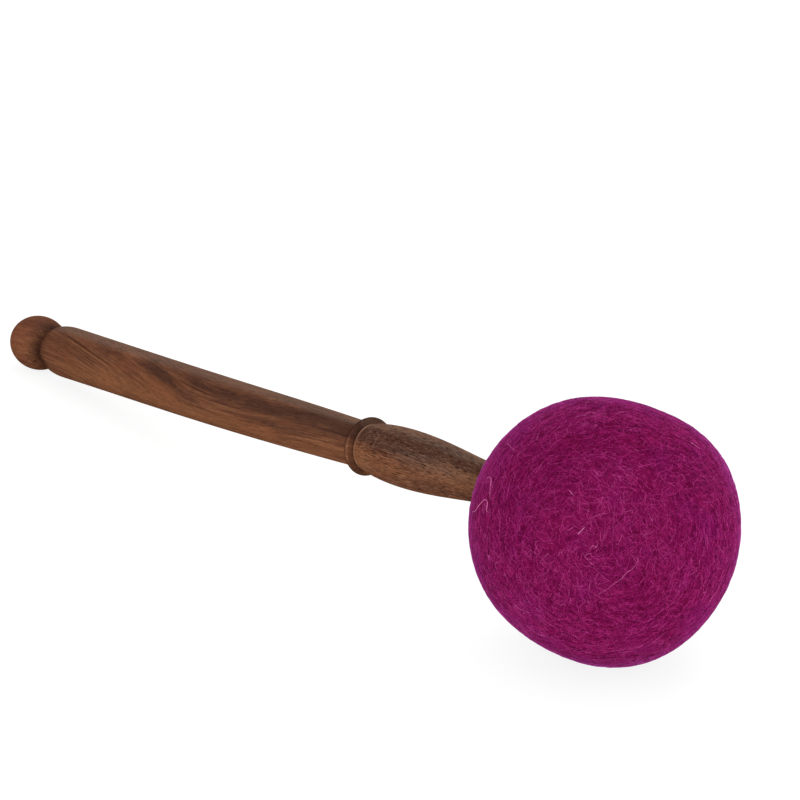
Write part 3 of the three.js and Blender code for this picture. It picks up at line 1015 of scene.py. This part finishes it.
def strand_mesh(name, routes, widths, tones, material):
    """Closed three-sided tubes along the routes, with tapered ends, each of one tone."""
    count, steps = routes.shape[:2]
    share = np.linspace(0, 1, steps)
    outward = unit(routes)
    ahead = unit(np.gradient(routes, axis=1))
    side = unit(np.cross(ahead, outward))
    out = np.cross(side, ahead)
    cosines, sines = np.cos(TUBE_TURNS)[:, None], np.sin(TUBE_TURNS)[:, None]
    tube = cosines * side[:, :, None] + sines * out[:, :, None]
    half = widths[:, None] / 2 * (END_SHARE + (1 - END_SHARE) * np.sin(math.pi * share) ** 0.5)
    ring = routes[:, :, None] + half[:, :, None, None] * tube
    ring[..., 2] = np.maximum(ring[..., 2], -HEAD_HEIGHT)
    index = np.arange(count * steps * 3).reshape(count, steps, 3)
    rear, front = index[:, :-1], index[:, 1:]
    quads = np.stack([rear, front, np.roll(front, -1, axis=2), np.roll(rear, -1, axis=2)], axis=-1)
    caps = np.concatenate([index[:, 0], index[:, -1, ::-1]])
    faces = quads.reshape(-1, 4).tolist() + caps.tolist()
    levels = np.round(tones * (TONES - 1))
    corners = strand_map(levels, share)
    points = ring.reshape(-1, 3)
    piece = add_piece(name, points, faces, HEAD_PLACE, material, corners)
    _, hues = zone_values(outward[:, steps // 2])
    give_values(
        piece,
        tone=np.repeat(levels / (TONES - 1), steps * 3),
        along=np.tile(np.repeat(share, 3), count),
        hue=np.repeat(hues, steps * 3),
    )
    soft = unit(tube + STRAND_SOFTNESS * outward[:, :, None])
    piece.data.normals_split_custom_set_from_vertices(soft.reshape(-1, 3).tolist())
    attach(piece, "root")


def make_strands():
    generator = np.random.default_rng(STRAND_SEED)
    material = dyed_fibre("dyed_fibre", STRAND_TONES, (255, 122, 252))
    for number, (count, steps, lengths, widths, lift, palest) in enumerate(STRAND_LAYERS):
        routes = strand_routes(generator, count, steps, lengths, lift)
        middles = routes[:, steps // 2]
        patch = 0.05 * wave(middles, 12, 2.6) + zone_values(unit(middles))[0]
        order = np.argsort(np.argsort(np.arange(count) * TONE_STEP % 1))
        spread = np.sort(generator.beta(*TONE_SPREAD, count))[order]
        tones = np.clip(spread * palest + patch, 0, TONE_LIMIT)
        name = f"felt_fibres_{number + 1}"
        strand_mesh(name, routes, generator.uniform(*widths, count), tones, material)


def along_route(places, steps):
    """A smooth run of directions on the ball through a few compass places."""
    knots = np.array([compass(*place) for place in places])
    knots = np.vstack([2 * knots[0] - knots[1], knots, 2 * knots[-1] - knots[-2]])
    spots = []
    for t in np.linspace(0, len(places) - 1, steps + 1):
        first = min(int(t), len(places) - 2)
        s = t - first
        a, b, c, d = knots[first:first + 4]
        slope, bend, twist = c - a, 2 * a - 5 * b + 4 * c - d, 3 * b - a - 3 * c + d
        spots.append(0.5 * (2 * b + slope * s + bend * s ** 2 + twist * s ** 3))
    return unit(np.array(spots))


def make_loose_strands():
    """The few long pale hairs that stand out from the felt."""
    arch = np.sin(math.pi * np.linspace(0, 1, LOOSE_STEPS + 1))
    places, widths, lifts, tones = zip(*LOOSE_STRANDS)
    routes = np.array([
        on_felt(along_route(place, LOOSE_STEPS), lift * arch ** 0.8 - LOOSE_DIP)
        for place, lift in zip(places, lifts)
    ])
    material = dyed_fibre("pale_fibre", LOOSE_TONES, (220, 160, 210))
    strand_mesh("loose_strands", routes, np.array(widths), np.array(tones), material)


# The studio

FLOOR_HALF = 4
FLOOR_DULL, FLOOR_PALE = (0.8, 0.8, 0.8, 1), (0.2, 0.2, 0.2, 1)
FLOOR_GLOW, SKY_STRENGTH = 0.85, 1.02
LAMPS = (  # name, place and target in metres, width and watts
    ("front_softbox", (1.76, -0.94, 0.35), (0.1, 0, 0.03), 1.2, 18),
    ("back_softbox", (-0.3, 1.1, 1.2), (0, 0, 0), 0.8, 6),
)
CAMERA_PLACE = (0.8637, -0.6460, 0.4492)
CAMERA_HEADING = (142.01, -21.03)  # the compass angle and rise that it looks along
SENSOR_WIDTH, LENS_LENGTH, SIGHT = 36, 180, 20


def make_floor():
    """A pale floor that looks white and keeps a faint shadow."""
    floor = Surface("studio_floor")
    dull = floor.add("BsdfDiffuse", {"Color": FLOOR_DULL})
    pale = floor.add("BsdfDiffuse", {"Color": FLOOR_PALE})
    glow = floor.add("Emission", {"Color": WHITE, "Strength": FLOOR_GLOW})
    white = floor.add("AddShader", {0: pale, 1: glow})
    surface = floor.add("MixShader", {0: floor.seen_directly(), 1: dull, 2: white})
    floor.feed(floor.tree.nodes["Material Output"].inputs["Surface"], surface)
    low, high = -FLOOR_HALF, FLOOR_HALF
    corners = [(low, low, 0), (high, low, 0), (high, high, 0), (low, high, 0)]
    mesh = bpy.data.meshes.new("studio_floor")
    mesh.from_pydata(corners, [], [(0, 1, 2, 3)])
    mesh.materials.append(floor.material)
    plane = bpy.data.objects.new("studio_floor", mesh)
    bpy.context.scene.collection.objects.link(plane)


def make_world():
    """An even pale surround that lights the object, and is plain white to look at."""
    world = bpy.data.worlds.new("studio")
    bpy.context.scene.world = world
    world.use_nodes = True
    sky = Nodes(world.node_tree)
    lighting = sky.tree.nodes["Background"]
    sky.feed(lighting.inputs["Color"], WHITE)
    sky.feed(lighting.inputs["Strength"], SKY_STRENGTH)
    white = sky.add("Background", {"Color": WHITE, "Strength": 1})
    sockets = {0: sky.seen_directly(), 1: lighting.outputs[0], 2: white}
    surface = sky.add("MixShader", sockets)
    sky.feed(sky.tree.nodes["World Output"].inputs["Surface"], surface)


def aim(thing, place, forward):
    """Puts a lamp or the camera at a place, looking along forward with its top up."""
    thing.location = place
    thing.rotation_euler = Vector(forward).to_track_quat("-Z", "Y").to_euler()
    bpy.context.scene.collection.objects.link(thing)


def make_lamp(name, place, target, size, watts):
    lamp = bpy.data.lights.new(name, "AREA")
    lamp.shape = "DISK"
    lamp.size = size
    lamp.energy = watts
    light = bpy.data.objects.new(name, lamp)
    light.visible_camera = False
    aim(light, place, Vector(target) - Vector(place))


def make_camera():
    lens = bpy.data.cameras.new("camera")
    lens.sensor_width = SENSOR_WIDTH
    lens.lens = LENS_LENGTH
    lens.clip_end = SIGHT
    camera = bpy.data.objects.new("camera", lens)
    aim(camera, CAMERA_PLACE, compass(*CAMERA_HEADING))
    bpy.context.scene.camera = camera


make_stick()
make_core()
make_padding()
make_felt()
make_strands()
make_loose_strands()
make_floor()
make_world()
for lamp in LAMPS:
    make_lamp(*lamp)
make_camera()
bpy.context.scene.view_settings.view_transform = "Standard"
